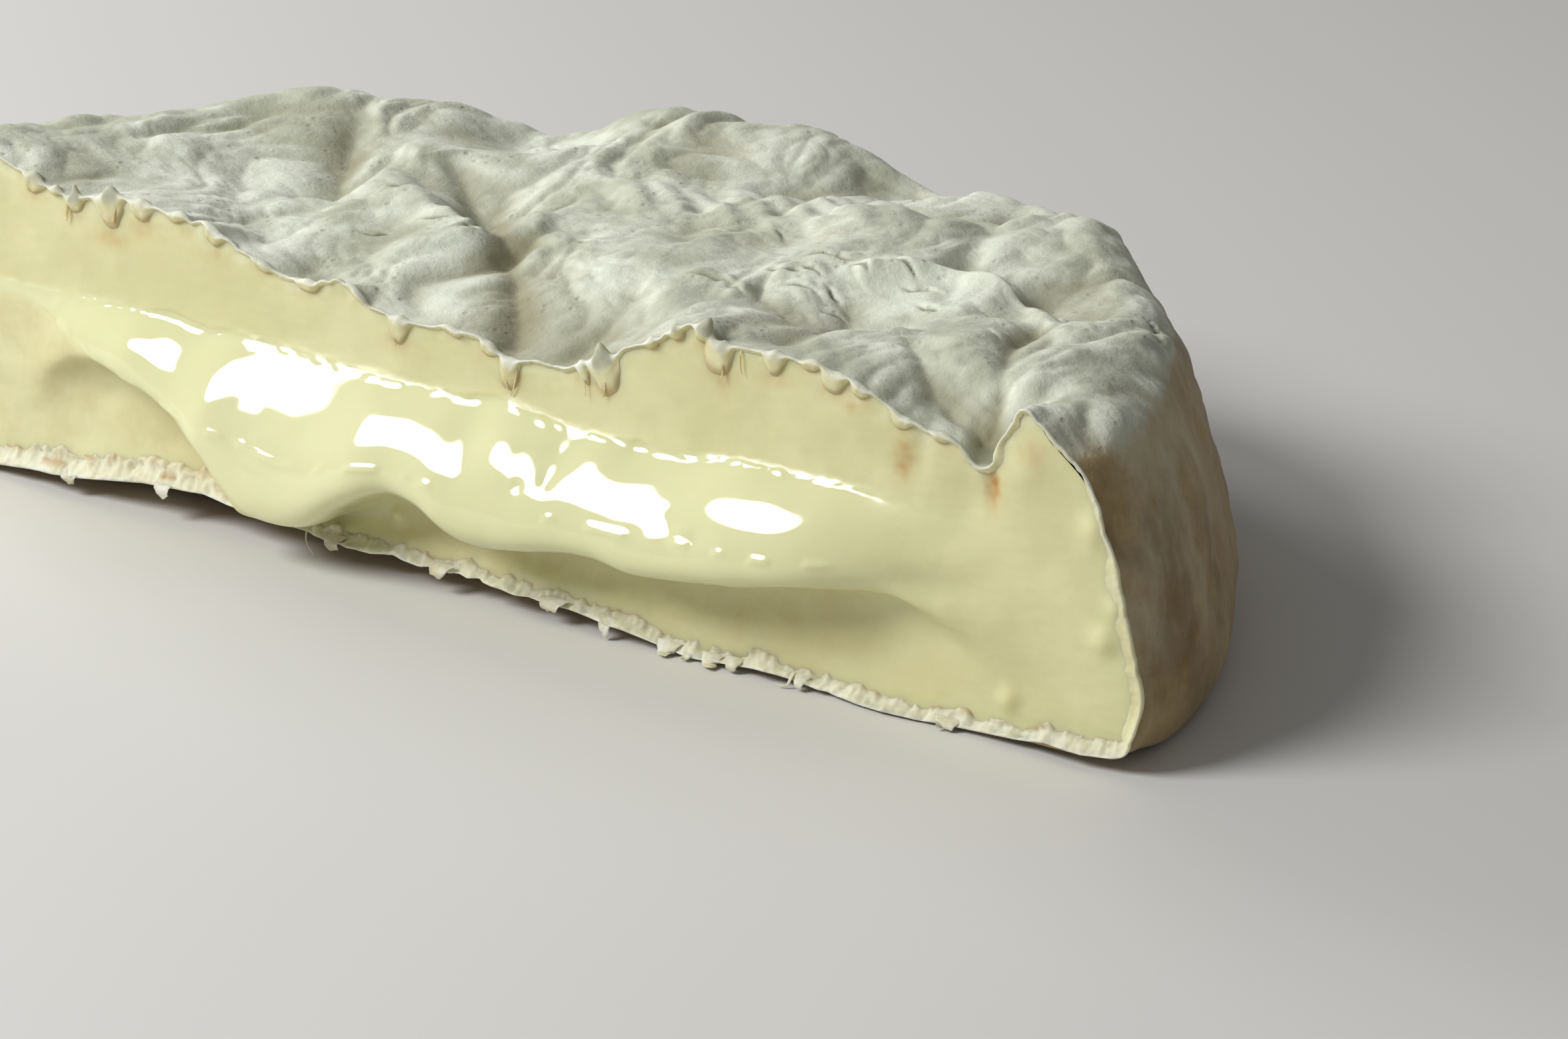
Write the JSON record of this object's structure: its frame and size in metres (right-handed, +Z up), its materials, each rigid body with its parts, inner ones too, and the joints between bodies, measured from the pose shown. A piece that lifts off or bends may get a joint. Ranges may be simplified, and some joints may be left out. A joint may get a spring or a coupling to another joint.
{
  "type": "half of a bloomy-rind cheese",
  "caption": "Half of a small ripe bloomy-rind cheese lying on its base: folded white rind, slumped side, and a straight cut face with a running lip of pale paste.",
  "frame": {"origin": "on the flat base, under the middle of the piece's bounding box", "axes": "+X along the straight cut, +Y from the cut face into the piece, +Z up"},
  "size_m": [0.1394, 0.079, 0.0315],
  "materials": {
    "cheese": "soft ripe cheese: matte off-white rind, pale yellow glossy paste"
  },
  "bodies": {
    "root": {"cheese": "cheese"}
  },
  "joints": []
}
